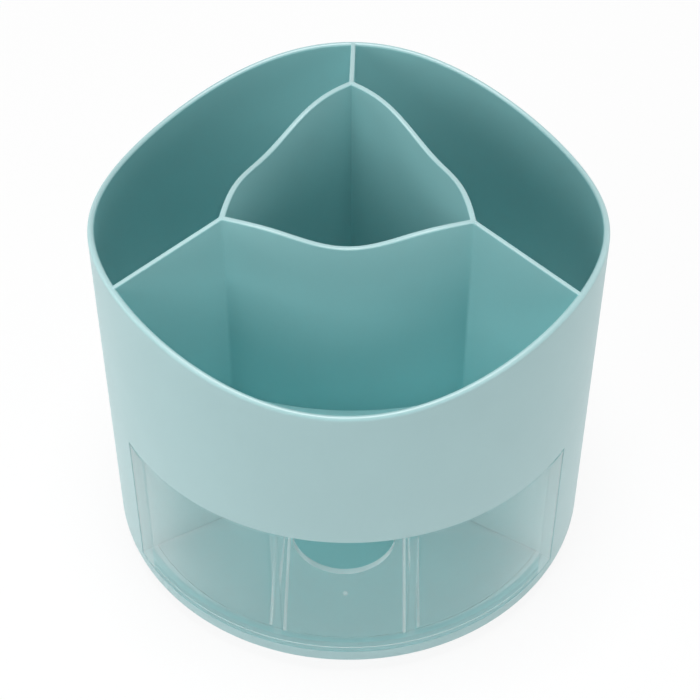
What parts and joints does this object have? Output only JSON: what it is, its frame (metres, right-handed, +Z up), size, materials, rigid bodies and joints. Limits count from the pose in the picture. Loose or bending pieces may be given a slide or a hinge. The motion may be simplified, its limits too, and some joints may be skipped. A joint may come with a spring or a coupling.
{
  "type": "rotating makeup organizer",
  "caption": "Round rotating desk organizer with a wavy rim, an inner cup, radial dividers and a clear pull-out drawer",
  "frame": {"origin": "on the desk, under the middle of the stand, on the axis that the organizer turns about", "axes": "+Z up; the drawer and the front of the organizer face -Y; +X to the right seen from the front"},
  "size_m": [0.136, 0.136, 0.1248],
  "materials": {
    "teal_plastic": "pale blue-green moulded polystyrene, opaque, satin to glossy",
    "clear_plastic": "clear moulded polystyrene, glossy, very slightly hazy",
    "natural_plastic": "uncoloured moulded plastic, satin",
    "steel": "bright plated steel",
    "rubber": "dark soft rubber, matt"
  },
  "bodies": {
    "stand": {"stand_disc": "teal_plastic", "rubber_foot_1": "rubber", "rubber_foot_2": "rubber", "rubber_foot_3": "rubber", "rubber_foot_4": "rubber"},
    "carriage": {"bearing_cage": "natural_plastic", "bearing_ball_1": "steel", "bearing_ball_2": "steel", "bearing_ball_3": "steel", "bearing_ball_4": "steel", "bearing_ball_5": "steel", "bearing_ball_6": "steel", "bearing_ball_7": "steel", "bearing_ball_8": "steel", "bearing_ball_9": "steel", "bearing_ball_10": "steel", "bearing_ball_11": "steel", "bearing_ball_12": "steel"},
    "container": {"outer_wall": "teal_plastic", "rear_floor": "teal_plastic", "front_floor": "teal_plastic", "inner_cup": "teal_plastic", "divider_back": "teal_plastic", "divider_left": "teal_plastic", "divider_right": "teal_plastic", "bottom_plate": "teal_plastic", "plate_screw_1": "steel", "plate_screw_2": "steel", "plate_screw_3": "steel", "plate_screw_4": "steel", "plate_screw_5": "steel", "plate_screw_6": "steel", "pivot_washer": "steel", "pivot_screw": "steel"},
    "drawer": {"drawer": "clear_plastic"}
  },
  "joints": [
    {"name": "container_turn", "type": "hinge", "parent": "stand", "child": "container", "pos_m": [0, 0, 0.0052], "axis": [0, 0, 1], "continuous": true},
    {"name": "cage_turn", "type": "hinge", "parent": "stand", "child": "carriage", "pos_m": [0, 0, 0.0052], "axis": [0, 0, 1], "continuous": true},
    {"name": "drawer_slide", "type": "slide", "parent": "container", "child": "drawer", "axis": [0, -1, 0], "range_m": [0, 0.035]}
  ],
  "couplings": [
    {"joint": "cage_turn", "follows": "container_turn", "ratio": 0.5}
  ]
}
